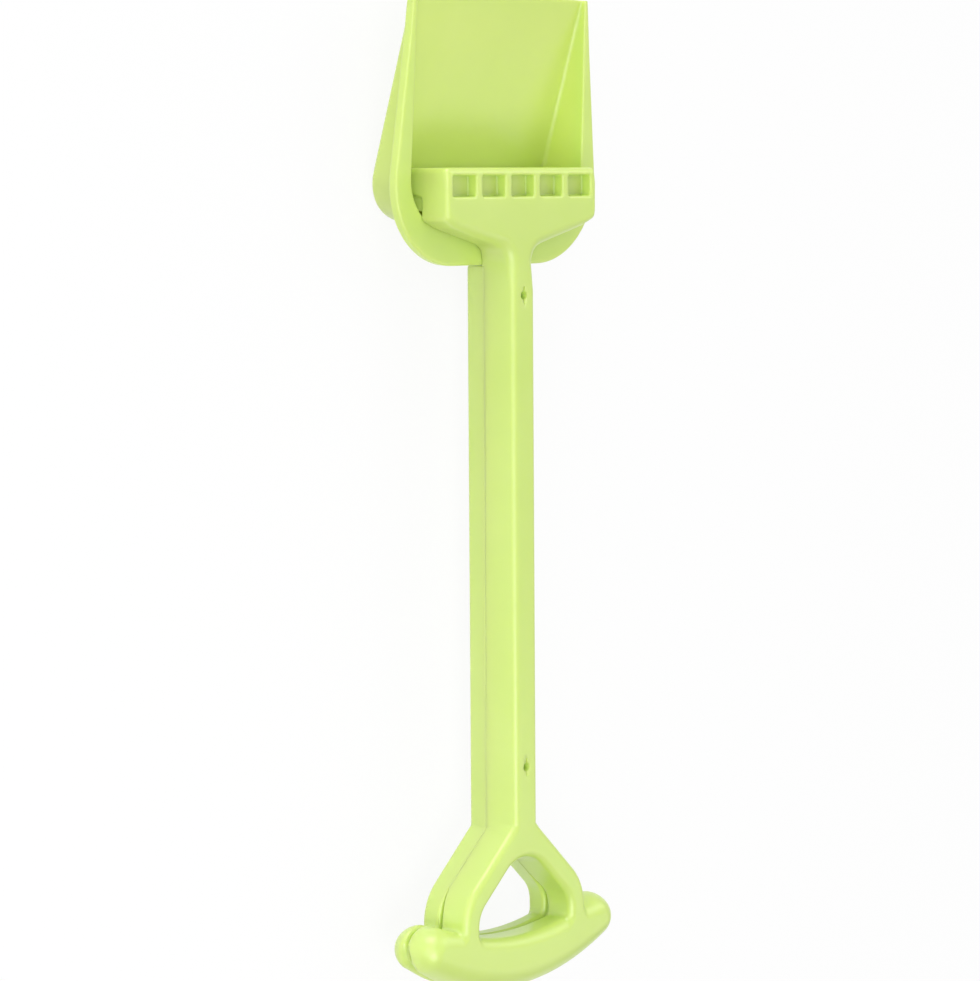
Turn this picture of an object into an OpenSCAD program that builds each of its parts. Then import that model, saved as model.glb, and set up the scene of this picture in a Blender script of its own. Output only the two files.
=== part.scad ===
// Sand shovel: a moulded scoop held between the two shells of a D-grip handle.
// It lies on its back. X runs along the shaft towards the tip, Y across it and Z up, out of the open scoop.
// Lengths are in millimetres and angles in degrees.

/* [Scoop] */
// Length of the scoop, from its tip to the heel edge of its rim
scoop_length = 133.5; // [110:0.5:160]
// Width of the scoop's inside at its heel, between its side walls
inside_width = 123; // [120:1:140]
// Width of the scoop's inside at its tip
tip_width = 120.6; // [114:0.2:130]
// Thickness of the scoop's walls and floor
scoop_wall = 2; // [1.5:0.1:3]
// How far the rim stands out beyond the side wall where it is widest
rim_overhang = 9; // [4:0.5:14]
// Thickness of the rim
rim_thickness = 5.5; // [4:0.5:8]
// Radius of the rim's two outer corners at the heel
heel_radius = 44; // [30:1:55]
// Breadth of the rim between the inside and the heel edge
heel_flange = 19.5; // [14:0.5:21]
// Radius of the inside's two corners at the heel
inside_radius = 24; // [16:1:30]
// How far the heel wall leans towards the tip on its way down to the floor
heel_lean = 4; // [2:0.5:10]
// Depth of the floor below the rim at the tip
tip_depth = 2; // [1:0.5:5]
// Slope of the floor against the rim
floor_slope = 15; // [8:0.5:20]
// How far the scoop leans forward against the handle
blade_tilt = 2.8; // [0:0.2:4]
// Radius of the bend from the floor to the heel wall, on the inside
floor_bend = 2.5; // [1:0.5:8]

/* [Tang] */
// Length of the scoop's tang inside the handle
tang_length = 27; // [24:1:60]
// Width of the tang
tang_width = 12; // [8:0.5:14]
// Thickness of the tang
tang_thickness = 4.8; // [3:0.2:6]

/* [Shaft] */
// Length of the shaft, from the heel edge to the shoulders of the grip
shaft_length = 278; // [180:0.5:400]
// Width of the shaft at the seam between its shells
shaft_seam_width = 23; // [20:0.5:30]
// Width of the shaft's front face, before its edges are rounded
shaft_front_width = 15; // [14:0.5:22]
// Width of the shaft's back face, before its edges are rounded
shaft_back_width = 19; // [15:0.5:22]
// Depth of the handle's front shell
front_depth = 17.5; // [13:0.5:22]
// Depth of the handle's rear shell
rear_depth = 13.5; // [11:0.5:20]
// Radius of the shaft's long edges
shaft_edge = 2.5; // [1:0.5:4]
// Thickness of the handle's shells
shell_wall = 2; // [1.5:0.1:2.6]
// Gap at the seams between the three mouldings
seam_gap = 0.2; // [0.1:0.05:0.4]

/* [Head] */
// Number of recesses in the head
pocket_count = 5; // [3:1:5]
// Width of a recess
pocket_width = 16.5; // [10:0.5:17]
// Width of the ribs between the recesses and at the head's ends
pocket_rib = 4.3; // [3:0.1:6]
// Height of a recess along the shaft
pocket_height = 10.5; // [8:0.5:14]
// Depth of a recess
pocket_depth = 6; // [3:0.5:8]
// Height of the band between the head's top edge and its recesses
head_band = 3.5; // [2:0.5:6]
// Distance of the head's top edge from the heel edge of the rim
head_reach = 48.5; // [46:0.5:60]
// Height of the head's straight ends
head_side = 24; // [21:0.5:28]
// Breadth of the cut corner under each end of the head
head_corner_width = 8; // [4:0.5:12]
// Height of the cut corner under each end of the head
head_corner_height = 4.8; // [2:0.2:8]
// Slope of the head's lower edges towards the neck
head_slope = 15.8; // [8:0.2:22]
// Radius of the fillets where the head meets the shaft
neck_radius = 10; // [4:0.5:14]
// Height of the skirt's side tabs, which reach down into the scoop
skirt_height = 14.5; // [8:0.5:20]
// Clearance between the skirt and the scoop's floor
skirt_gap = 0.3; // [0.2:0.1:0.8]

/* [Grip] */
// Length of the grip, from its shoulders to its end
grip_length = 82.5; // [76:0.5:110]
// Width of the grip over its two legs
grip_width = 89; // [78:1:110]
// Angle of the upper legs against the shaft
leg_angle = 46; // [38:1:52]
// Width of a leg
leg_width = 11.2; // [8:0.1:12]
// Outer radius of a leg's bend
leg_radius = 28; // [20:1:34]
// Radius at the top of the hand opening
window_top_radius = 19; // [8:1:24]
// Height of the hand bar at its middle
bar_height = 27; // [23:0.5:30]
// Distance between the centres of the bar's round ends
bar_span = 113; // [98:1:130]
// Radius that the middle of the bar is bent to
bar_radius = 143; // [110:1:300]
// Radius of the bar's long edges
bar_edge = 10; // [4:0.5:10]

/* [Snap posts] */
// Distance of the upper post from the heel edge
upper_post_from_heel = 14.2; // [12:0.2:20]
// Distance of the lower post from the shoulders of the grip
lower_post_from_shoulder = 29.5; // [12:0.5:60]
// Diameter of the holes in the front shell
socket_bore = 4.6; // [3.6:0.1:5.4]
// Clearance around the posts' pins, on the radius
post_clearance = 0.15; // [0.1:0.05:0.3]
// Diameter of the bosses around the holes
boss_diameter = 9; // [8:0.5:10]
// Diameter of the posts below their pins
post_diameter = 8; // [7:0.5:9]
// Depth of a pin's end below the front face
pin_recess = 3.5; // [2:0.5:6]
// Length of the slits across each hole
slit_length = 9; // [7:0.5:12]
// Width of the slits
slit_width = 1.2; // [0.8:0.1:1.6]

/* [Hidden] */
$fn = 64;
arc_steps = 12;
cut = 1;
lime = [0.72, 0.84, 0.28];
soft_corner = 3;
back_edge = 3.5;
tang_drop = 0.5;

scoop_half = inside_width / 2;
side_taper = (inside_width - tip_width) / 2 / (scoop_length - heel_flange);
rim_tip_half = tip_width / 2 + scoop_wall;
rim_heel_half = scoop_half + scoop_wall + rim_overhang;
heel_foot = heel_flange + heel_lean;
tray_bend = floor_bend + scoop_wall;

head_half = (pocket_count * (pocket_width + pocket_rib) + pocket_rib) / 2;
head_depth_behind = pocket_depth + shell_wall;

shoulder_x = -shaft_length;
shaft_end = shoulder_x - leg_width / 2;
grip_end = shoulder_x - grip_length;
leg_start = shaft_front_width / 2;
window_half = grip_width / 2 - leg_width;
window_apex_x = shoulder_x - (leg_width / cos(leg_angle) - leg_start) / tan(leg_angle);
window_radius = leg_radius - leg_width - soft_corner;
bar_half = bar_height / 2;
bar_centre_x = grip_end + bar_half + bar_radius;
bar_turn = asin(bar_span / 2 / bar_radius);
foot_x = bar_centre_x - sqrt(bar_radius * bar_radius - grip_width * grip_width / 4);

upper_post_x = -upper_post_from_heel;
lower_post_x = shoulder_x + lower_post_from_shoulder;
tang_top = -tang_drop;
tang_bottom = tang_top - tang_thickness;

// The scoop leans about a line across it, under the ends of the head
lean_x = heel_flange + inside_radius / 3;
rim_drop = lean_x * sin(blade_tilt);
floor_tip = leaned([scoop_length, -tip_depth]);

// The origin lies under the middle of the whole length, on the lowest point of the scoop's back
heel_x = -(leaned([scoop_length, -tip_depth - scoop_wall])[0] + grip_end) / 2;
seam_z = -min([for (q = foot_bend()) leaned(q)[1]]);

// Where a point of the scoop's side profile goes when the scoop leans forward
function leaned(q) = [
    lean_x + (q[0] - lean_x) * cos(blade_tilt) - q[1] * sin(blade_tilt),
    (q[0] - lean_x) * sin(blade_tilt) + q[1] * cos(blade_tilt)
];

// The bend at the heel's foot, on the scoop's back
function foot_bend() = let (p = tray_profile()) bend(flat(p[2]), flat(p[1]), flat(p[3]), p[2][2]);

// Depth of the scoop's floor below the rim
function floor_depth(x) = tip_depth + (scoop_length - x) * tan(floor_slope);

function unit(v) = v / norm(v);

// Points of the arc that rounds the corner p between its neighbours a and b
function bend(p, a, b, r) =
    let (u = unit(a - p), v = unit(b - p), half = acos(u * v) / 2)
    let (middle = p + unit(u + v) * r / sin(half))
    let (start = p + u * r / tan(half) - middle, turn = sign(u[0] * v[1] - u[1] * v[0]) * (180 - 2 * half))
    [for (i = [0:arc_steps]) let (t = -turn * i / arc_steps)
        middle + [start[0] * cos(t) - start[1] * sin(t), start[0] * sin(t) + start[1] * cos(t)]];

function flat(p) = [p[0], p[1]];

// Outline through corners given as [x, y, radius]
function rounded(c) = [for (i = [0:len(c) - 1])
    let (p = flat(c[i]), a = flat(c[(i + len(c) - 1) % len(c)]), b = flat(c[(i + 1) % len(c)]))
    each c[i][2] > 0 ? bend(p, a, b, c[i][2]) : [p]];

// The corners of one side, followed by their mirror images in the X axis
function both_sides(c) = concat(c, [for (i = [len(c) - 1:-1:0]) [c[i][0], -c[i][1], c[i][2]]]);

// Side profile of the scoop's outside, as [x, z, radius]
function tray_profile() = [
    [scoop_length, 0, 0],
    [scoop_length, -tip_depth - scoop_wall, 0],
    [heel_foot - scoop_wall, -floor_depth(heel_foot) - scoop_wall, tray_bend],
    [heel_flange - scoop_wall, 0, 0]
];

// Side profile of the scoop's inside, open above the rim and at the tip
function inside_profile() = [
    [scoop_length + cut, cut, 0],
    [scoop_length + cut, -floor_depth(scoop_length + cut), 0],
    [heel_foot, -floor_depth(heel_foot), floor_bend],
    [heel_flange, 0, 0],
    [heel_flange, cut, 0]
];

// Turns a profile drawn in X and Z into a solid that reaches half on both sides of the shaft
module across(half) {
    rotate([90, 0, 0])
        linear_extrude(2 * half, center = true)
            children();
}

// Plan of the scoop's inside, grown by a wall
module inside_plan(grow) {
    half = scoop_half + grow;
    heel = heel_flange - grow;
    polygon(rounded(both_sides([
        [scoop_length + cut, half - side_taper * (scoop_length + cut - heel), 0],
        [heel, half, inside_radius + grow]
    ])));
}

// Plan of the rim, which widens from the tip to its round heel
module rim_plan() {
    spread = (rim_heel_half - rim_tip_half) * scoop_length / (scoop_length - heel_radius);
    polygon(rounded(both_sides([
        [scoop_length, rim_tip_half, 0],
        [0, rim_tip_half + spread, heel_radius]
    ])));
}

module scoop_body() {
    depth = floor_depth(heel_flange) + 2 * scoop_wall;
    intersection() {
        translate([0, 0, -depth])
            linear_extrude(depth)
                inside_plan(scoop_wall);
        across(rim_heel_half)
            polygon(rounded(tray_profile()));
    }
    intersection() {
        translate([0, 0, -rim_thickness])
            linear_extrude(rim_thickness)
                rim_plan();
        across(rim_heel_half + heel_radius)
            polygon([
                [0, 0],
                [scoop_length, 0],
                [scoop_length, -tip_depth - scoop_wall],
                [0, -tip_depth - scoop_wall - scoop_length * tan(floor_slope)]
            ]);
    }
}

// Leans a shape forward with the scoop
module lean() {
    translate([lean_x, 0, 0])
        rotate([0, -blade_tilt, 0])
            translate([-lean_x, 0, 0])
                children();
}

module scoop() {
    color(lime)
        place()
            difference() {
                union() {
                    lean()
                        difference() {
                            scoop_body();
                            intersection() {
                                translate([0, 0, -floor_depth(0)])
                                    linear_extrude(floor_depth(0) + cut)
                                        inside_plan(0);
                                across(rim_heel_half)
                                    polygon(rounded(inside_profile()));
                            }
                        }
                    translate([-tang_length, -tang_width / 2, tang_bottom])
                        cube([tang_length + heel_flange / 2, tang_width, tang_thickness]);
                }
                translate([upper_post_x, 0, tang_bottom - cut])
                    cylinder(d = socket_bore, h = tang_thickness + 2 * cut);
            }
}

// Section of one half of the shaft, drawn in Y and Z with the seam at the bottom
module shaft_section(face_width, depth, inset, edge) {
    slope = (shaft_seam_width - face_width) / 2 / depth;
    seam_half = shaft_seam_width / 2 - inset * norm([1, slope]);
    top = depth - inset;
    low = inset > 0 ? -rim_drop - cut : 0;
    polygon(rounded([
        [seam_half - slope * low, low, 0],
        [seam_half - slope * top, top, max(edge - inset, 0.5)],
        [-seam_half + slope * top, top, max(edge - inset, 0.5)],
        [-seam_half + slope * low, low, 0]
    ]));
}

// A stretch of the shaft's half between two places along it
module shaft_half(from, to, face_width, depth, inset, edge) {
    translate([from, 0, 0])
        rotate([90, 0, 90])
            linear_extrude(to - from)
                shaft_section(face_width, depth, inset, edge);
}

// Plan of the head, whose lower edges slope in to the shaft
module head_plan(inset) {
    half = head_half - inset;
    top = head_reach - inset;
    side_end = head_reach - head_side;
    corner_x = side_end - head_corner_height;
    corner_y = head_half - head_corner_width;
    neck_half = shaft_front_width / 2 - inset;
    lift = inset / cos(head_slope);
    neck_x = corner_x + lift - (corner_y - inset - neck_half) * tan(head_slope);
    polygon(rounded(both_sides([
        [top, half, 0],
        [side_end, half, soft_corner],
        [corner_x + lift, corner_y - inset, soft_corner],
        [neck_x, neck_half, neck_radius + inset],
        [-neck_radius, neck_half, 0]
    ])));
}

// The block of the head, which stands on the leaning rim
module head_block() {
    difference() {
        translate([0, 0, -rim_drop])
            linear_extrude(front_depth + rim_drop)
                head_plan(0);
        lean()
            translate([0, -head_half - cut, -rim_thickness])
                cube([scoop_length, 2 * (head_half + cut), rim_thickness + seam_gap]);
        translate([-2 * neck_radius, -head_half, -rim_thickness])
            cube([2 * neck_radius + seam_gap, 2 * head_half, rim_thickness + seam_gap]);
    }
}

// Section of one half of the hand bar, with the seam at the bottom and its long edges rounded
module bar_section(depth, inset) {
    half = bar_half - inset;
    top = depth - inset;
    low = inset > 0 ? -cut : 0;
    polygon(rounded([
        [half, low, 0],
        [half, top, bar_edge - inset],
        [-half, top, bar_edge - inset],
        [-half, low, 0]
    ]));
}

// One half of the hand bar, bent to a crescent with round ends
module bar_half_shape(depth, inset) {
    translate([bar_centre_x, 0, 0]) {
        rotate([0, 0, 180 - bar_turn])
            rotate_extrude(angle = 2 * bar_turn, $fn = 180)
                translate([bar_radius, 0])
                    bar_section(depth, inset);
        for (side = [-1, 1])
            rotate([0, 0, 180 + side * bar_turn])
                translate([bar_radius, 0, 0])
                    rotate_extrude()
                        intersection() {
                            bar_section(depth, inset);
                            translate([0, -cut])
                                square([bar_half, depth + 2 * cut]);
                        }
    }
}

// Plan of the two legs, with the hand opening between them
module legs_plan(inset) {
    half = grip_width / 2 - inset;
    start = leg_start - inset / cos(leg_angle);
    knee_x = shoulder_x - (half - start) / tan(leg_angle);
    apex_x = window_apex_x + inset / sin(leg_angle);
    hole_half = window_half + inset;
    hole_knee_x = apex_x - hole_half / tan(leg_angle);
    difference() {
        polygon(rounded(both_sides([
            [shoulder_x, start, 0],
            [knee_x, half, leg_radius - inset],
            [foot_x, half, 0]
        ])));
        polygon(rounded([
            [foot_x - cut, -hole_half, 0],
            [hole_knee_x, -hole_half, window_radius + inset],
            [apex_x, 0, window_top_radius + inset],
            [hole_knee_x, hole_half, window_radius + inset],
            [foot_x - cut, hole_half, 0]
        ]));
    }
}

// One half of the D-grip, with its shell's channel cut from the seam side
module grip_half(depth) {
    difference() {
        union() {
            linear_extrude(depth)
                legs_plan(0);
            bar_half_shape(depth, 0);
        }
        translate([0, 0, -cut])
            linear_extrude(depth - shell_wall + cut)
                legs_plan(shell_wall);
        bar_half_shape(depth, shell_wall);
    }
}

// Height of the skirt's lower edge, just above the scoop's floor
function skirt_low(x) =
    let (slope = floor_slope + blade_tilt)
    floor_tip[1] + (x - floor_tip[0]) * tan(slope) + skirt_gap / cos(slope);

// The skirt behind the head's top edge, which closes the scoop towards the heel
module skirt() {
    wall_back = head_reach - shell_wall;
    tab_foot = head_reach - skirt_height;
    tab_toe = tab_foot - skirt_low(head_reach) * tan(floor_slope);
    across(head_half)
        polygon([
            [head_reach, shell_wall],
            [head_reach, skirt_low(head_reach)],
            [wall_back, skirt_low(wall_back)],
            [wall_back, shell_wall]
        ]);
    for (side = [-1, 1])
        translate([0, side * (head_half - shell_wall / 2), 0])
            across(shell_wall / 2)
                polygon([
                    [head_reach, shell_wall],
                    [head_reach, skirt_low(head_reach)],
                    [tab_toe, skirt_low(tab_toe)],
                    [tab_foot, 0],
                    [tab_foot, shell_wall]
                ]);
}

// The recesses along the head's top band
module pockets() {
    pitch = pocket_width + pocket_rib;
    first = -(pocket_count - 1) / 2 * pitch;
    for (i = [0:pocket_count - 1])
        translate([
            head_reach - head_band - pocket_height,
            first + i * pitch - pocket_width / 2,
            front_depth - pocket_depth
        ])
            cube([pocket_height, pocket_width, pocket_depth + cut]);
}

// The slit hole that takes a post's pin
module socket_cut(x) {
    translate([x, 0, 0])
        cylinder(d = socket_bore, h = front_depth + cut);
    translate([x - slit_length / 2, -slit_width / 2, front_depth - shell_wall - cut])
        cube([slit_length, slit_width, shell_wall + 2 * cut]);
}

module front_shell() {
    color(lime)
        place()
            difference() {
                union() {
                    difference() {
                        union() {
                            head_block();
                            intersection() {
                                shaft_half(shaft_end, neck_radius,
                                    shaft_front_width, front_depth, 0, shaft_edge);
                                translate([shaft_end, -shaft_seam_width, seam_gap])
                                    cube([neck_radius - shaft_end, 2 * shaft_seam_width, front_depth]);
                            }
                        }
                        translate([0, 0, -rim_drop])
                            linear_extrude(front_depth - head_depth_behind + rim_drop)
                                head_plan(shell_wall);
                        shaft_half(shoulder_x + shell_wall, neck_radius,
                            shaft_front_width, front_depth, shell_wall, shaft_edge);
                    }
                    translate([0, 0, seam_gap])
                        grip_half(front_depth - seam_gap);
                    skirt();
                    for (x = [upper_post_x, lower_post_x])
                        translate([x, 0, seam_gap])
                            cylinder(d = boss_diameter, h = front_depth - seam_gap - shell_wall / 2);
                }
                pockets();
                for (x = [upper_post_x, lower_post_x])
                    socket_cut(x);
            }
}

// A post that stands on the rear shell's back wall, with a thinner pin on its top
module post(x, seat_z) {
    translate([x, 0, -rear_depth + shell_wall / 2])
        cylinder(d = post_diameter, h = seat_z + rear_depth - shell_wall / 2);
    translate([x, 0, seat_z - cut])
        cylinder(d = socket_bore - 2 * post_clearance, h = front_depth - pin_recess - seat_z + cut);
}

module rear_shell() {
    color(lime)
        place() {
            mirror([0, 0, 1]) {
                difference() {
                    shaft_half(shaft_end, -seam_gap,
                        shaft_back_width, rear_depth, 0, back_edge);
                    shaft_half(shoulder_x + shell_wall, cut,
                        shaft_back_width, rear_depth, shell_wall, back_edge);
                }
                grip_half(rear_depth);
            }
            post(upper_post_x, tang_bottom - seam_gap);
            post(lower_post_x, 0);
        }
}

// Moves the model from the heel edge and the seam to its origin
module place() {
    translate([heel_x, 0, seam_z])
        children();
}

scoop();
front_shell();
rear_shell();
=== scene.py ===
import math

import bpy
import numpy as np
from mathutils import Matrix, Vector


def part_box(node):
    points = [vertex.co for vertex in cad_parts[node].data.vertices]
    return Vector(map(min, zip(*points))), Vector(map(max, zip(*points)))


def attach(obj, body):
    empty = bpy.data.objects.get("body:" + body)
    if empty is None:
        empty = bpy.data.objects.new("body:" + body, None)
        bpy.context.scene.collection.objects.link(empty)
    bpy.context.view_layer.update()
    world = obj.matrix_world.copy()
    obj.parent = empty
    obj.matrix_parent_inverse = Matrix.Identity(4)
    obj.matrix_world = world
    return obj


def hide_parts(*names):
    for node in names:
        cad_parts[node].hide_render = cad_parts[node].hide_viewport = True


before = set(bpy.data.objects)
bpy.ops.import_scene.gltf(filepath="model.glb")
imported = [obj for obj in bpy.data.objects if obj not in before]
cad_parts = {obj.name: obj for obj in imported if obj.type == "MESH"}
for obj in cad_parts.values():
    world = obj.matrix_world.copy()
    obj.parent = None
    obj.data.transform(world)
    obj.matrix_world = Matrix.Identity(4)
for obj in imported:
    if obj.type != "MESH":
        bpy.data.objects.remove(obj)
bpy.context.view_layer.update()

# the shovel's sizes are millimetres, with x = 0 just short of the rim's heel edge and z = 0 at the seam
perMetre = 1000.0


# outlines and distances

def arcPoints(centre, radius, start, end, steps=24):
    angles = [start + (end - start) * i / steps for i in range(steps + 1)]
    return [(centre[0] + radius * math.cos(a), centre[1] + radius * math.sin(a)) for a in angles]


def roundedOutline(corners, steps=20):
    # open line through corners of (x, y, radius)
    points = []
    for i, (x, y, radius) in enumerate(corners):
        if radius == 0 or i in (0, len(corners) - 1):
            points.append((x, y))
            continue
        p = Vector((x, y))
        u = (Vector(corners[i - 1][:2]) - p).normalized()
        v = (Vector(corners[i + 1][:2]) - p).normalized()
        half = math.acos(max(-1, min(1, u.dot(v)))) / 2
        middle = p + (u + v).normalized() * (radius / math.sin(half))
        a = p + u * (radius / math.tan(half)) - middle
        b = p + v * (radius / math.tan(half)) - middle
        turn = math.atan2(a.x * b.y - a.y * b.x, a.dot(b))
        first = math.atan2(a.y, a.x)
        points += arcPoints(middle, radius, first, first + turn, steps)
    return points


def roundedRectangle(halfA, halfB, radius, steps):
    points = []
    for signA, signB, first in ((1, 1, 0), (-1, 1, 90), (-1, -1, 180), (1, -1, 270)):
        centre = (signA * (halfA - radius), signB * (halfB - radius))
        points += arcPoints(centre, radius, math.radians(first), math.radians(first + 90), steps)
    return points


def outlineDistance(outline, x, y):
    # signed distance to one half of an outline that is mirrored in the shaft's axis
    x, y = np.broadcast_arrays(x, np.abs(y))
    best = np.full(x.shape, np.inf)
    inside = np.zeros(x.shape, bool)
    for (ax, ay), (bx, by) in zip(outline[:-1], outline[1:]):
        ex, ey = bx - ax, by - ay
        if ex == 0 and ey == 0:
            continue
        wx, wy = x - ax, y - ay
        t = np.clip((wx * ex + wy * ey) / (ex * ex + ey * ey), 0, 1)
        best = np.minimum(best, (wx - t * ex) ** 2 + (wy - t * ey) ** 2)
        if ex != 0:
            inside ^= ((ax > x) != (bx > x)) & (ay + wx * (ey / ex) > y)
    return np.where(inside, -1, 1) * np.sqrt(best)


def both(a, b, radius):
    # common part of two shapes, its edge rounded
    u, v = np.maximum(radius + a, 0), np.maximum(radius + b, 0)
    return np.minimum(-radius, np.maximum(a, b)) + np.sqrt(u * u + v * v)


def joined(a, b, radius):
    # two shapes grown together with a fillet
    u, v = np.maximum(radius - a, 0), np.maximum(radius - b, 0)
    return np.maximum(radius, np.minimum(a, b)) - np.sqrt(u * u + v * v)


def along(x, table):
    return np.interp(x, [p[0] for p in table], [p[1] for p in table])


def eased(t):
    t = np.clip(t, 0, 1)
    return t * t * (3 - 2 * t)


# skins over distances

skinRule = dict(passes=4, nudge=0.02, reach=0.45, leastSlope=0.25)   # reach is a share of a cell


def gridLines(*stretches):
    # stretches of (from, to, step), one after the other
    lines = []
    for start, end, step in stretches:
        count = max(1, round((end - start) / step))
        lines += [start + (end - start) * i / count for i in range(count)]
    return np.array(lines + [stretches[-1][1]])


def mirroredLines(*stretches):
    half = gridLines(*stretches)
    return np.concatenate([-half[:0:-1], half])


def edgeMeans(field, cells, lines):
    # the mean of the places where the surface crosses a cell's edges
    total, hits = np.zeros((len(cells), 3)), np.zeros(len(cells))
    for axis in range(3):
        others = [a for a in range(3) if a != axis]
        for du, dv in ((0, 0), (0, 1), (1, 0), (1, 1)):
            near = cells.copy()
            near[:, others[0]] += du
            near[:, others[1]] += dv
            far = near.copy()
            far[:, axis] += 1
            a, b = field[tuple(near.T)], field[tuple(far.T)]
            crossed = (a < 0) != (b < 0)
            t = np.where(crossed, a / np.where(crossed, a - b, 1), 0)
            point = np.stack([lines[k][near[:, k]] for k in range(3)], 1)
            point[:, axis] += t * (lines[axis][far[:, axis]] - lines[axis][near[:, axis]])
            total += point * crossed[:, None]
            hits += crossed
    return total / hits[:, None]


def pulledOnto(shape, start, reach, rule):
    # moves points down the slope onto the surface, each within reach of its start
    points, nudge = start.copy(), rule["nudge"]
    for _ in range(rule["passes"]):
        slope = np.stack([shape(*(points + nudge * e).T) - shape(*(points - nudge * e).T)
                          for e in np.eye(3)], 1) / (2 * nudge)
        steep = np.maximum((slope * slope).sum(1), rule["leastSlope"])
        step = (shape(*points.T) / steep)[:, None] * slope
        points = np.clip(points - step, start - reach, start + reach)
    return points


def crossedFaces(inside, index):
    # a face round each grid edge that the surface crosses, turned outwards
    faces = []
    for axis in range(3):
        u, v = (axis + 1) % 3, (axis + 2) % 3
        low, high = [slice(None)] * 3, [slice(None)] * 3
        low[axis], high[axis] = slice(None, -1), slice(1, None)
        here, there = inside[tuple(low)], inside[tuple(high)]
        edges = np.argwhere(here != there)
        within = (edges[:, u] > 0) & (edges[:, u] < inside.shape[u] - 1)
        within &= (edges[:, v] > 0) & (edges[:, v] < inside.shape[v] - 1)
        edges = edges[within]
        corners = []
        for du, dv in ((-1, -1), (0, -1), (0, 0), (-1, 0)):
            cell = edges.copy()
            cell[:, u] += du
            cell[:, v] += dv
            corners.append(index[tuple(cell.T)])
        quads = np.stack(corners, 1)
        inward = ~here[tuple(edges.T)]
        quads[inward] = quads[inward][:, ::-1]
        faces.append(quads)
    return np.concatenate(faces).tolist()


def skinOf(shape, grid):
    # one vertex in each grid cell that the surface crosses
    lines = (gridLines(*grid["x"]), mirroredLines(*grid["y"]), gridLines(*grid["z"]))
    field = shape(lines[0][:, None, None], lines[1][None, :, None], lines[2][None, None, :])
    inside = field < 0
    count = sum(inside[i:i - 1 or None, j:j - 1 or None, k:k - 1 or None].astype(np.int8)
                for i in (0, 1) for j in (0, 1) for k in (0, 1))
    cells = np.argwhere((count > 0) & (count < 8))
    index = np.full(count.shape, -1, np.int64)
    index[tuple(cells.T)] = np.arange(len(cells))
    reach = skinRule["reach"] * np.stack([np.diff(lines[k])[cells[:, k]] for k in range(3)], 1)
    points = pulledOnto(shape, edgeMeans(field, cells, lines), reach, skinRule)
    return points, crossedFaces(inside, index)


def ringLoft(rings):
    # closed skin over rings with the same number of points, the first and the last one filled
    points = [p for ring in rings for p in ring]
    n = len(rings[0])
    faces = [(r * n + i, r * n + (i + 1) % n, (r + 1) * n + (i + 1) % n, (r + 1) * n + i)
             for r in range(len(rings) - 1) for i in range(n)]
    faces.append(tuple(range(n - 1, -1, -1)))
    faces.append(tuple((len(rings) - 1) * n + i for i in range(n)))
    return points, faces


def withLoft(points, faces, loft):
    loftPoints, loftFaces = loft
    moved = [[i + len(points) for i in face] for face in loftFaces]
    return np.concatenate([points, loftPoints]), faces + moved


# scoop

scoopSize = dict(
    length=133.46, insideWidth=123.0, tipWidth=120.6, wall=2.0,
    overhang=8.94, rimThickness=5.5,         # overhang of the rim where it is widest
    heelRadius=41.0, heelEdge=0.6, heelFlange=19.5, insideRadius=24.0,
    straight=30.0, beyond=20.0,              # straight sides at the heel, outlines drawn past the tip
    tipDepth=2.0, floorSlope=15.0, tipBow=1.3, tipEdge=0.7,
    sideDraft=0.07, heelDraft=0.13,          # how far a wall leans in per millimetre of depth
    sideBend=2.2, heelBend=4.5,              # inside radius between the floor and the walls
    sideBack=3.0, heelBack=7.4,              # the same radius on the back
    bendShare=0.35, bendStart=0.2, bendLeast=0.3, backExtra=0.6,   # limits where the scoop is shallow
    lip=1.0, rimEdge=1.4, rimRoot=2.0, rimFoot=0.6, trayTop=1.5,
    tilt=2.8, tiltAt=27.5,                   # the blade leans forward about this place
)

tangSize = dict(length=27.0, inHeel=6.0, width=12.0, top=-0.5, bottom=-5.3, edge=0.5)

scoopGrid = dict(x=[(-2, 50, 0.8), (50, 128, 2.0), (128, 134.5, 0.5)],
                 y=[(0, 36, 2.0), (36, 74, 0.75)],
                 z=[(-35, -7, 0.8), (-7, 1, 0.5)])


def scoopOutlines(size):
    half, tipHalf = size["insideWidth"] / 2, size["tipWidth"] / 2
    length, flange, edge = size["length"], size["heelFlange"], size["heelEdge"]
    inside = roundedOutline([(length + size["beyond"], tipHalf, 0), (length, tipHalf, 0),
                             (flange + size["straight"], half, 0), (flange, half, size["insideRadius"]),
                             (flange, 0, 0)])
    tip, wide = tipHalf + size["wall"], half + size["wall"] + size["overhang"]
    widening = (wide - tip) / (length - edge - size["heelRadius"])
    rim = roundedOutline([(length + size["beyond"], tip - size["beyond"] * widening, 0),
                          (edge, tip + (length - edge) * widening, size["heelRadius"]),
                          (edge, 0, 0)], steps=40)
    return inside, rim


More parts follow.
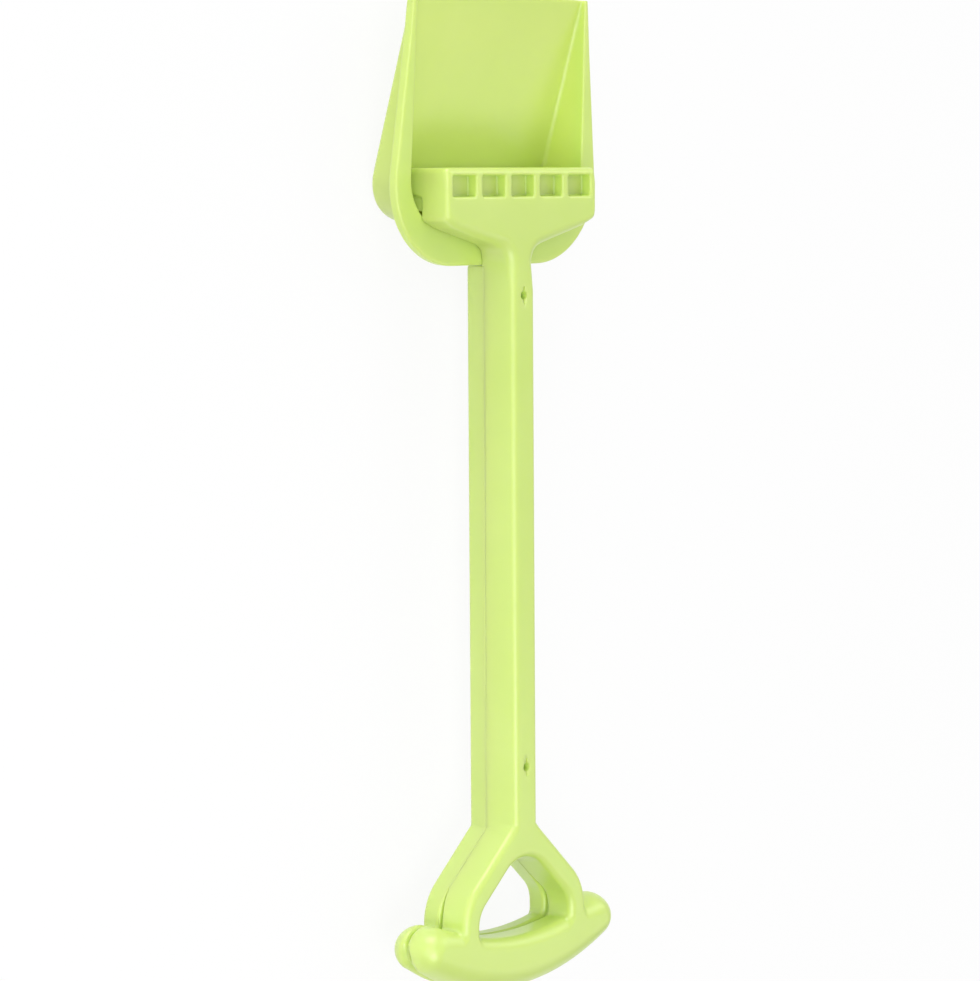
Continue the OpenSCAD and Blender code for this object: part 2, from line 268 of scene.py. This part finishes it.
def scoopShape(size):
    inside, rim = scoopOutlines(size)
    slope = math.radians(size["floorSlope"])
    half, thick = size["insideWidth"] / 2, size["rimThickness"] / 2
    cornerX, cornerY = size["heelFlange"] + size["insideRadius"], half - size["insideRadius"]

    def shape(x, y, z):
        # 0 at the side walls, 1 at the heel wall
        turn = np.arctan2(np.maximum(cornerX - x, 0), np.maximum(np.abs(y) - cornerY, 0)) / (math.pi / 2)
        lean = size["sideDraft"] + (size["heelDraft"] - size["sideDraft"]) * turn
        depth = size["tipDepth"] + (size["length"] - x) * math.tan(slope)
        floor = (-depth - z) * math.cos(slope)
        wall = (outlineDistance(inside, x, y) - lean * z) / np.sqrt(1 + lean * lean)
        shallow = np.maximum(size["bendShare"] * depth + size["bendStart"], size["bendLeast"])
        bend = np.minimum(size["sideBend"] + (size["heelBend"] - size["sideBend"]) * turn, shallow)
        back = size["sideBack"] + (size["heelBack"] - size["sideBack"]) * turn
        back = np.minimum(back, shallow + size["backExtra"])
        hollow = both(wall, floor, bend)
        tray = both(wall - size["wall"], floor - size["wall"], back)
        tray = np.maximum(tray, z + size["trayTop"])
        brim = both(outlineDistance(rim, x, y), np.abs(z + thick) - thick, size["rimEdge"])
        brim = both(brim, floor - size["wall"], size["rimFoot"])
        body = both(joined(tray, brim, size["rimRoot"]), -hollow, size["lip"])
        tip = x - size["length"] + size["tipBow"] * (y / half) ** 2
        return both(body, tip, size["tipEdge"])

    return shape


def tilted(points, size, back=False):
    # turns points with the blade, or back again
    a = math.radians(-size["tilt"] if back else size["tilt"])
    x, y, z = points[0] - size["tiltAt"], points[1], points[2]
    return size["tiltAt"] + x * math.cos(a) - z * math.sin(a), y, x * math.sin(a) + z * math.cos(a)


def tangLoft(size):
    edge, length = size["edge"], size["length"]
    middle, deep = (size["top"] + size["bottom"]) / 2, (size["top"] - size["bottom"]) / 2
    rings = []
    for x, inset in ((size["inHeel"], 0), (edge - length, 0), (-length, edge)):
        section = roundedRectangle(size["width"] / 2 - inset, deep - inset, edge, steps=4)
        rings.append([(x, y, middle + z) for y, z in section[::-1]])
    return ringLoft(rings)


# handle

handleSize = dict(
    shaftLength=278.0, frontDepth=17.5, rearDepth=13.5, seamGap=0.03,
    # half widths of neck, shaft, grip and window, and the places of shoulder and window top
    face=dict(neck=7.7, shaft=7.7, shoulder=-277.3, outer=44.5, inner=33.3, apex=-286.3),
    seam=dict(neck=10.5, shaft=11.5, shoulder=-279.8, outer=45.5, inner=32.3, apex=-287.6),
    back=dict(neck=9.5, shaft=9.5, shoulder=-279.5, outer=44.5, inner=33.3, apex=-285.9),
    rearTop=0.5, rearCorner=0.4,             # upper end of the rear shell
    headFrom=0.2, headHalf=54.15, headReach=48.6, headSide=25.4, cornerWidth=7.3, cornerHeight=3.7,
    headSlope=15.8, neckRadius=10.0, headCorner=3.0, headShoulder=2.6,
    roof=8.0, roofEdge=1.0, hollowFrom=6.0,  # the head is hollow under its roof
    skirtWall=2.0, skirtTop=3.0, skirtHeight=14.5, skirtGap=0.4,
    ribInset=1.2, ribHalf=6.6, ribTop=10.5, ribFoot=-15.9,
    # edge radius at places along the handle
    frontEdge=[(-330, 3.6), (-300, 3.3), (-281, 3.2), (-276, 2.5), (-12, 2.5), (2, 5.0), (12, 6.0),
               (20, 5.0), (27, 2.2), (41, 2.0), (47, 3.3)],
    backEdge=[(-328, 3.6), (-298, 3.0), (0, 3.0)],
    seamEdge=[(-330, 2.6), (-316, 2.0), (-304, 0.1), (-282, 0.1), (-276, 0.25), (3, 0.25), (9, 2.0),
              (20, 2.0), (26, 0.3)],
)

gripSize = dict(
    length=82.5, legAngle=46.0, legRadius=28.0, legRoot=2.5, windowTop=19.0, windowKnee=14.7,
    barHeight=27.0, barBottom=136.0, barTop=140.3, barEnd=12.0,    # bar radii at both edges and the ends
    footShare=0.82,                          # how deep the legs run into the bar
    frontTopEdge=6.0, frontLowEdge=12.5, rearTopEdge=6.5, rearLowEdge=10.0,
    endFrom=40.0, endOver=24.0, endEdge=10.5, frontEnd=0.75, rearEnd=0.72,
    seamFrom=4.0, seamOver=6.0, barSeam=0.4, endSeam=6.0,
    grooveDepth=3.0, groove=[(-330, 0.9), (-318, 0.7), (-306, 0.0)],
)

frontGrid = dict(x=[(-362, -274, 0.8), (-274, -12, 6), (-12, 52.5, 0.7)],
                 y=[(0, 72, 0.8)],
                 z=[(-28, -2, 1.2), (-2, 5, 0.4), (5, 18.5, 0.6)])

rearGrid = dict(x=[(-362, -274, 0.8), (-274, -6, 6), (-6, 1, 0.5)],
                y=[(0, 72, 0.8)],
                z=[(-15, -5, 0.6), (-5, 1, 0.4)])


def handleOutline(size, grip, level, hasHead):
    angle = math.radians(grip["legAngle"])
    half, outer, inner, apex = (level[k] for k in ("shaft", "outer", "inner", "apex"))
    foot = -size["shaftLength"] - grip["length"] + grip["footShare"] * grip["barHeight"]
    knee = level["shoulder"] - (outer - half) / math.tan(angle)
    innerKnee = apex - inner / math.tan(angle)
    if hasHead:
        low = size["headReach"] - size["headSide"]
        cornerX, cornerY = low - size["cornerHeight"], size["headHalf"] - size["cornerWidth"]
        neck = cornerX - (cornerY - level["neck"]) * math.tan(math.radians(size["headSlope"]))
        top = [(size["headReach"], 0, 0), (size["headReach"], size["headHalf"], size["headShoulder"]),
               (low, size["headHalf"], size["headCorner"]), (cornerX, cornerY, size["headCorner"]),
               (neck, level["neck"], size["neckRadius"])]
    else:
        top = [(size["rearTop"], 0, 0), (size["rearTop"], level["neck"], size["rearCorner"])]
    radius = grip["windowTop"]
    arch = apex - radius / math.sin(angle)
    legs = [(level["shoulder"], half, 0), (knee, outer, grip["legRadius"]), (foot, outer, 0),
            (foot, inner, 0), (innerKnee, inner, grip["windowKnee"]),
            (arch + radius * math.sin(angle), radius * math.cos(angle), 0)]
    return roundedOutline(top + legs) + arcPoints((arch, 0), radius, math.pi / 2 - angle, 0)[1:]


def barOutline(size, grip):
    # a crescent with round ends that run smoothly into both edges
    start = -size["shaftLength"] - grip["length"]
    low, high = start + grip["barBottom"], start + grip["barHeight"] + grip["barTop"]
    inner, outer = grip["barBottom"] - grip["barEnd"], grip["barTop"] + grip["barEnd"]
    apart = high - low
    endX = low + (inner ** 2 - outer ** 2 + apart ** 2) / (2 * apart)
    endY = math.sqrt(inner ** 2 - (endX - low) ** 2)
    first, last = math.atan2(endY, endX - low), math.atan2(endY, endX - high)
    return (arcPoints((low, 0), grip["barBottom"], math.pi, first, steps=40)
            + arcPoints((endX, endY), grip["barEnd"], first, last - math.pi, steps=40)[1:]
            + arcPoints((high, 0), grip["barTop"], last, math.pi, steps=40)[1:])


def shellShape(size, grip, blade, isFront):
    depth = size["frontDepth"] if isFront else size["rearDepth"]
    atFace = handleOutline(size, grip, size["face" if isFront else "back"], isFront)
    atSeam = handleOutline(size, grip, size["seam"], isFront)
    bar = barOutline(size, grip)
    edges = size["frontEdge" if isFront else "backEdge"]
    side = "front" if isFront else "rear"
    barStart = -size["shaftLength"] - grip["length"]

    def shape(x, y, z):
        up = z if isFront else -z
        rise = np.clip(up / depth, 0, 1)
        plan = outlineDistance(atFace, x, y) * rise + outlineDistance(atSeam, x, y) * (1 - rise)
        handle = both(plan, up - depth, along(x, edges))
        # the bar is rounded more and more towards its ends
        atEnd = eased((np.abs(y) - grip["endFrom"]) / grip["endOver"])
        high = grip[side + "TopEdge"] + (grip["endEdge"] - grip[side + "TopEdge"]) * atEnd
        low = grip[side + "LowEdge"] + (grip["endEdge"] - grip[side + "LowEdge"]) * atEnd
        middle = barStart + grip["barHeight"] / 2 + y * y / (2 * grip["barTop"])
        stretch = 1 + (grip[side + "End"] - 1) * atEnd
        hand = both(outlineDistance(bar, x, y), (up - depth) * stretch, np.where(x > middle, high, low))
        whole = np.maximum(joined(handle, hand, grip["legRoot"]), up - depth)
        # rounded along the seam, with an open groove low on the legs
        onBar = np.clip((barStart + grip["barHeight"] + grip["seamFrom"] - x) / grip["seamOver"], 0, 1)
        barEdge = grip["barSeam"] + grip["endSeam"] * atEnd
        edge = along(x, size["seamEdge"]) * (1 - onBar) + barEdge * onBar
        under = np.maximum(size["seamGap"] / 2 - up, whole + grip["grooveDepth"])
        under = np.minimum(along(x, grip["groove"]) - up, under)
        if isFront:
            # the head stands on the leaning rim
            onRim = size["seamGap"] - tilted((x, y, z), blade, True)[2]
            under = np.minimum(under, np.maximum(size["headFrom"] - x, onRim))
            # and is hollow up to its roof
            hollow = both(plan + size["skirtWall"], up - depth + size["roof"], size["roofEdge"])
            whole = np.maximum(whole, -np.maximum(hollow, size["hollowFrom"] - x))
        return both(whole, under, edge)

    return shape


def skirtShape(size, blade):
    slope = math.radians(blade["floorSlope"])
    foot = size["headReach"] - size["skirtHeight"]

    def shape(x, y, z):
        bladeX, _, bladeZ = tilted((x, y, z), blade, True)
        floor = size["skirtGap"] - blade["tipDepth"] - (blade["length"] - bladeX) * math.tan(slope) - bladeZ
        plan = both(x - size["headReach"], np.abs(y) - size["headHalf"], size["headShoulder"])
        wall = np.maximum(plan, -plan - size["skirtWall"])
        tab = (foot - x) * math.cos(slope) - z * math.sin(slope)
        skin = np.maximum(np.maximum(wall, tab), z - size["skirtTop"])
        # a rib a little further in closes the side behind each tab
        inset = np.abs(y) - size["headHalf"] + size["ribInset"]
        rib = np.maximum(np.maximum(inset, -inset - size["skirtWall"]), np.abs(x - foot) - size["ribHalf"])
        rib = np.maximum(rib, np.maximum(z - size["ribTop"], size["ribFoot"] - z))
        return np.maximum(np.minimum(skin, rib), floor)

    return shape


def frontShape(size, grip, blade):
    shell, skirt = shellShape(size, grip, blade, True), skirtShape(size, blade)

    def shape(x, y, z):
        return np.minimum(shell(x, y, z), skirt(x, y, z))

    return shape


# recesses, slit holes and the pins in them

pocketSize = dict(count=5, width=16.4, rib=4.4, height=10.4, depth=6.2, band=3.7,
                  corner=1.2, leastCorner=0.3, lip=1.3, lipTurn=75, floorBend=0.9)

socketSize = dict(count=2, upper=14.2, spacing=234.3, bore=4.6, pastSeam=0.5,
                  slitLength=9.0, slitWidth=1.2, slitDepth=3.0, lip=0.25, ledge=0.01)

pinSize = dict(diameter=4.2, foot=-4.0, top=13.8, edge=0.6, sides=40)

cutterTop = 0.3                              # how far a cutter stands out of the face


def lipSteps(radius, stop, steps=5):
    # how far a rounded lip has opened, and its height below the face
    return [(radius * (1 - math.cos(a)), radius * (math.sin(a) - 1))
            for a in (math.radians(stop * i / steps) for i in range(steps + 1))]


def pocketRings(size):
    def ring(grow, z):
        radius = max(size["corner"] + grow, size["leastCorner"])
        section = roundedRectangle(size["height"] / 2 + grow, size["width"] / 2 + grow, radius, steps=6)
        return [(x, y, z) for x, y in section]

    bend = size["floorBend"]
    quarter = arcPoints((-bend, bend - size["depth"]), bend, -math.pi / 2, 0, steps=5)
    rings = [ring(grow, z) for grow, z in quarter]
    lip = lipSteps(size["lip"], size["lipTurn"])
    rings += [ring(opened, z) for opened, z in lip]
    opened, z = lip[-1]
    rings.append(ring(opened + (cutterTop - z) * math.tan(math.radians(size["lipTurn"])), cutterTop))
    return rings


def socketRings(size, depth):
    bore, slit, reach = size["bore"] / 2, size["slitWidth"] / 2, size["slitLength"] / 2
    first = math.asin(slit / bore)
    slitEnd = arcPoints((reach - slit, 0), slit, 0, math.pi / 2, steps=5)
    quarter = slitEnd + arcPoints((0, 0), bore, first, math.pi / 2, steps=8)
    outline = quarter + [(-x, y) for x, y in quarter[-2::-1]]
    outline += [(x, -y) for x, y in outline[-2:0:-1]]

    def onBore(x, y, crowd=0.9):
        # the slit's points crowd together on the bore, below the slits
        if math.hypot(x, y) < bore + size["ledge"]:
            return x, y
        a = math.atan2(y * crowd, math.copysign(bore, x))
        return bore * math.cos(a), bore * math.sin(a)

    def widened(x, y, grow):
        share = 1 + grow / math.hypot(x, y)
        return x * share, y * share

    plain = [onBore(x, y) for x, y in outline]
    wide = [widened(x, y, size["lip"] + cutterTop) for x, y in outline]
    levels = ((plain, -depth - size["pastSeam"]), (plain, -size["slitDepth"] - size["ledge"]),
              (outline, -size["slitDepth"]), (outline, -size["lip"]), (wide, cutterTop))
    return [[(x, y, z) for x, y in points] for points, z in levels]


def pinLoft(x, size):
    radius, top, edge = size["diameter"] / 2, size["top"], size["edge"]
    halfway = edge * (1 - math.sqrt(0.5))    # on the rounded edge
    angles = [2 * math.pi * i / size["sides"] for i in range(size["sides"])]
    return ringLoft([[(x + r * math.cos(a), r * math.sin(a), z) for a in angles]
                     for r, z in ((radius, size["foot"]), (radius, top - edge),
                                  (radius - halfway, top - halfway), (radius - edge, top))])


def repeatCutTree():
    # repeats a cutter along a line and takes it out of the piece
    tree = bpy.data.node_groups.new("repeatCut", "GeometryNodeTree")
    tree.interface.new_socket("Geometry", in_out="OUTPUT", socket_type="NodeSocketGeometry")
    sockets = {}
    for name, kind in dict(Geometry="Geometry", Count="Int", First="Vector", Step="Vector",
                           Cutter="Object", Finish="Material").items():
        socket = tree.interface.new_socket(name, in_out="INPUT", socket_type="NodeSocket" + kind)
        sockets[name] = socket.identifier
    kinds = dict(given="NodeGroupInput", line="GeometryNodeMeshLine", info="GeometryNodeObjectInfo",
                 place="GeometryNodeInstanceOnPoints", row="GeometryNodeRealizeInstances",
                 cut="GeometryNodeMeshBoolean", whole="GeometryNodeRealizeInstances",
                 paint="GeometryNodeSetMaterial", out="NodeGroupOutput")
    nodes = {name: tree.nodes.new(kind) for name, kind in kinds.items()}
    nodes["line"].mode = "OFFSET"
    nodes["cut"].operation, nodes["cut"].solver = "DIFFERENCE", "MANIFOLD"
    for start, output, end, socket in (
            ("given", "Count", "line", "Count"), ("given", "First", "line", "Start Location"),
            ("given", "Step", "line", "Offset"), ("given", "Cutter", "info", "Object"),
            ("line", "Mesh", "place", "Points"), ("info", "Geometry", "place", "Instance"),
            ("place", "Instances", "row", "Geometry"), ("given", "Geometry", "cut", "Mesh 1"),
            ("row", "Geometry", "cut", "Mesh 2"), ("cut", "Mesh", "whole", "Geometry"),
            ("whole", "Geometry", "paint", "Geometry"), ("given", "Finish", "paint", "Material"),
            ("paint", "Geometry", "out", "Geometry")):
        tree.links.new(nodes[start].outputs[output], nodes[end].inputs[socket])
    return tree, sockets


def cutRow(piece, tree, sockets, values):
    modifier = piece.modifiers.new("cut", "NODES")
    modifier.node_group = tree
    for name, value in values.items():
        modifier[sockets[name]] = value
    bpy.context.view_layer.update()
    made = bpy.data.meshes.new_from_object(piece.evaluated_get(bpy.context.evaluated_depsgraph_get()))
    piece.modifiers.remove(modifier)
    old, piece.data = piece.data, made
    bpy.data.meshes.remove(old)
    made.shade_smooth()


# finish

class Wire:
    def __init__(self, tree, socket):
        self.tree, self.socket = tree, socket

    def maths(self, operation, a, b):
        node = self.tree.nodes.new("ShaderNodeMath")
        node.operation = operation
        for socket, value in zip(node.inputs, (a, b)):
            plug(self.tree, value, socket)
        return Wire(self.tree, node.outputs[0])

    def __add__(self, other):
        return self.maths("ADD", self, other)

    def __radd__(self, other):
        return self.maths("ADD", other, self)

    def __sub__(self, other):
        return self.maths("SUBTRACT", self, other)

    def __rsub__(self, other):
        return self.maths("SUBTRACT", other, self)

    def __mul__(self, other):
        return self.maths("MULTIPLY", self, other)

    def __rmul__(self, other):
        return self.maths("MULTIPLY", other, self)


def plug(tree, value, socket):
    # a wire is linked, anything else is set on the socket
    if isinstance(value, Wire):
        tree.links.new(value.socket, socket)
    else:
        socket.default_value = value


class NodePaper:
    def __init__(self, tree):
        self.tree = tree

    def add(self, kind, sockets=None, settings=None, output=0):
        # sockets go by their name or number
        node = self.tree.nodes.new(kind)
        for name, value in (settings or {}).items():
            setattr(node, name, value)
        for key, value in (sockets or {}).items():
            plug(self.tree, value, node.inputs[key])
        return Wire(self.tree, node.outputs[output]) if node.outputs else None


def newMaterial(name):
    material = bpy.data.materials.new(name)
    material.use_nodes = True
    material.node_tree.nodes.clear()
    return material, NodePaper(material.node_tree)


plasticLook = dict(
    lime=(0.61, 0.77, 0.19, 1), deep=(0.57, 0.74, 0.155, 1), pale=(0.64, 0.79, 0.22, 1),
    flow=(22.0, 3.0), speck=(340.0, 2.0), peel=(900.0, 2.0),       # scale and detail of the noises
    speckTint=0.35, roughness=0.36, roughSpread=0.12, grain=0.03, grainDepth=0.0004,
    ior=1.5, sheen=0.9, gloss=0.25, glossBlur=0.3,
    glow=0.5, glowReach=0.008, glowTint=(1.0, 1.0, 0.5),           # light that passes into the plastic
)


def limePlastic(look):
    material, paper = newMaterial("limePlastic")
    place = paper.add("ShaderNodeTexCoord", output="Object")
    flow, speck, peel = (
        paper.add("ShaderNodeTexNoise", {"Vector": place, "Scale": scale, "Detail": detail})
        for scale, detail in (look["flow"], look["speck"], look["peel"]))
    # a colour mix has its factor on socket 0, its colours on 6 and 7, and its result on 2
    colours = dict(data_type="RGBA")
    tint = paper.add("ShaderNodeMix", {0: flow, 6: look["deep"], 7: look["pale"]}, colours, 2)
    colour = paper.add("ShaderNodeMix", {0: speck * look["speckTint"], 6: tint, 7: look["lime"]}, colours, 2)
    # the noises lie about 0.5
    rough = look["roughness"] + (flow - 0.5) * look["roughSpread"] + (speck - 0.5) * look["roughSpread"]
    bump = paper.add("ShaderNodeBump", {"Height": (peel + speck) * 0.5, "Strength": look["grain"],
                                        "Distance": look["grainDepth"]})
    shader = paper.add("ShaderNodeBsdfPrincipled", {
        "Base Color": colour, "Roughness": rough, "Normal": bump,
        "IOR": look["ior"], "Specular IOR Level": look["sheen"],
        "Coat Weight": look["gloss"], "Coat Roughness": look["glossBlur"],
        "Subsurface Weight": look["glow"], "Subsurface Radius": look["glowTint"],
        "Subsurface Scale": look["glowReach"]})
    paper.add("ShaderNodeOutputMaterial", {"Surface": shader})
    return material


# the three mouldings, in the frame

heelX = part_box("front_shell")[0][0] * perMetre + handleSize["shaftLength"] + gripSize["length"]
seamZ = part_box("front_shell")[1][2] * perMetre - handleSize["frontDepth"]
faceZ = handleSize["frontDepth"]


def inFrame(points):
    return ((np.asarray(points) + (heelX, 0, seamZ)) / perMetre).tolist()


def meshObject(name, points, faces):
    # points in metres
    mesh = bpy.data.meshes.new(name)
    mesh.from_pydata(points, [], faces)
    mesh.update()
    mesh.shade_smooth()
    made = bpy.data.objects.new(name, mesh)
    bpy.context.scene.collection.objects.link(made)
    return made


def cutterObject(name, rings):
    points, faces = ringLoft(rings)
    return meshObject(name, (np.array(points) / perMetre).tolist(), faces)


skinPoints, skinFaces = skinOf(scoopShape(scoopSize), scoopGrid)
leaningPoints = np.stack(tilted(skinPoints.T, scoopSize), 1)
skinPoints, skinFaces = withLoft(leaningPoints, skinFaces, tangLoft(tangSize))
scoop = meshObject("scoop_moulding", inFrame(skinPoints), skinFaces)
print("scoop:", len(skinPoints), "points")

skinPoints, skinFaces = skinOf(frontShape(handleSize, gripSize, scoopSize), frontGrid)
front = meshObject("front_shell_moulding", inFrame(skinPoints), skinFaces)
print("front shell:", len(skinPoints), "points")

skinPoints, skinFaces = skinOf(shellShape(handleSize, gripSize, scoopSize, False), rearGrid)
for i in range(socketSize["count"]):
    pinX = -socketSize["upper"] - i * socketSize["spacing"]
    skinPoints, skinFaces = withLoft(skinPoints, skinFaces, pinLoft(pinX, pinSize))
rear = meshObject("rear_shell_moulding", inFrame(skinPoints), skinFaces)
print("rear shell:", len(skinPoints), "points")

lime = limePlastic(plasticLook)
cutTree, cutSockets = repeatCutTree()
pitch = pocketSize["width"] + pocketSize["rib"]
pocketX = handleSize["headReach"] - pocketSize["band"] - pocketSize["height"] / 2
pocketY = -(pocketSize["count"] - 1) / 2 * pitch
pocketCutter = cutterObject("pocketCutter", pocketRings(pocketSize))
socketCutter = cutterObject("socketCutter", socketRings(socketSize, faceZ))
cutRow(front, cutTree, cutSockets, dict(
    Count=pocketSize["count"], First=inFrame((pocketX, pocketY, faceZ)),
    Step=(0, pitch / perMetre, 0), Cutter=pocketCutter, Finish=lime))
cutRow(front, cutTree, cutSockets, dict(
    Count=socketSize["count"], First=inFrame((-socketSize["upper"], 0, faceZ)),
    Step=(-socketSize["spacing"] / perMetre, 0, 0), Cutter=socketCutter, Finish=lime))
for cutter in (pocketCutter, socketCutter):
    bpy.data.objects.remove(cutter)
print("front shell cut:", len(front.data.polygons), "faces")

for piece, node in ((scoop, "scoop"), (front, "front_shell"), (rear, "rear_shell")):
    piece.data.materials.clear()
    piece.data.materials.append(lime)
    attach(piece, "root")
    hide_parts(node)


# floor, light and camera, in metres

studio = dict(ambient=0.48, floorWhite=0.9, floorTone=(0.9, 0.9, 0.9, 1), floorHalf=6.0)

lamps = dict(                                # power in watts, place and size
    keyLight=(18.5, (0.4, 1.8, 1.6), 2.0), lowLight=(4.2, (-0.5, 0.6, 0.95), 0.6),
    topLight=(24.5, (2.3, 0.6, 0.6), 1.3), rightLight=(7.8, (1.0, -1.5, 1.3), 1.4),
    gripLight=(1.2, (-0.6, -0.85, 0.8), 0.7),
)

shot = dict(turn=47.0, tilt=4.9, roll=-0.36, distance=1.8, lens=132.8, sensor=36.0, near=0.05, far=50.0,
            aimX=0.0021, shift=-0.0047)


def paleFloor(look):
    # white to the eye and in reflections, with the object's shadow faintly on it
    material, paper = newMaterial("paleFloor")
    direct, mirrored, through = (paper.add("ShaderNodeLightPath", output="Is %s Ray" % kind)
                                 for kind in ("Camera", "Glossy", "Transmission"))
    seen = direct + mirrored + through
    plain = paper.add("ShaderNodeBsdfDiffuse", {"Color": look["floorTone"]})
    white = paper.add("ShaderNodeEmission", {"Color": (1, 1, 1, 1), "Strength": 1.0})
    mixed = paper.add("ShaderNodeMixShader", {0: seen * look["floorWhite"], 1: plain, 2: white})
    paper.add("ShaderNodeOutputMaterial", {"Surface": mixed})
    return material


def softLight(name, power, place, size):
    data = bpy.data.lights.new(name, "AREA")
    data.energy, data.size = power, size
    lamp = bpy.data.objects.new(name, data)
    bpy.context.scene.collection.objects.link(lamp)
    lamp.location = place
    lamp.rotation_mode = "QUATERNION"
    lamp.rotation_quaternion = (-Vector(place)).to_track_quat("-Z", "Y")


def photoCamera(view):
    turn, tilt, roll = (math.radians(view[k]) for k in ("turn", "tilt", "roll"))
    right = Vector((0, -math.cos(turn), math.sin(turn)))
    level = Vector((0, math.sin(turn), math.cos(turn)))
    tip = Vector((1, 0, 0))
    back = tip * math.sin(tilt) + level * math.cos(tilt)
    up = tip * math.cos(tilt) - level * math.sin(tilt)
    across = right * math.cos(roll) + up * math.sin(roll)
    over = up * math.cos(roll) - right * math.sin(roll)
    aim = Vector((view["aimX"], 0, seamZ / perMetre)) + right * view["shift"]
    data = bpy.data.cameras.new("photoCamera")
    data.lens, data.sensor_width = view["lens"], view["sensor"]
    data.clip_start, data.clip_end = view["near"], view["far"]
    camera = bpy.data.objects.new("photoCamera", data)
    bpy.context.scene.collection.objects.link(camera)
    place = Matrix.Translation(aim + back * view["distance"])
    camera.matrix_world = place @ Matrix((across, over, back)).transposed().to_4x4()
    return camera


half = studio["floorHalf"]
floorCorners = [(-half, -half, 0), (half, -half, 0), (half, half, 0), (-half, half, 0)]
floor = meshObject("floor", floorCorners, [(0, 1, 2, 3)])
floor.data.materials.append(paleFloor(studio))

world = bpy.data.worlds.new("softRoom")
bpy.context.scene.world = world
world.use_nodes = True
sky = world.node_tree.nodes["Background"]
sky.inputs["Color"].default_value = (1, 1, 1, 1)
sky.inputs["Strength"].default_value = studio["ambient"]

for name, (power, place, size) in lamps.items():
    softLight(name, power, place, size)

bpy.context.scene.camera = photoCamera(shot)
bpy.context.scene.view_settings.view_transform = "Standard"
print("studio:", len(lamps), "lamps")
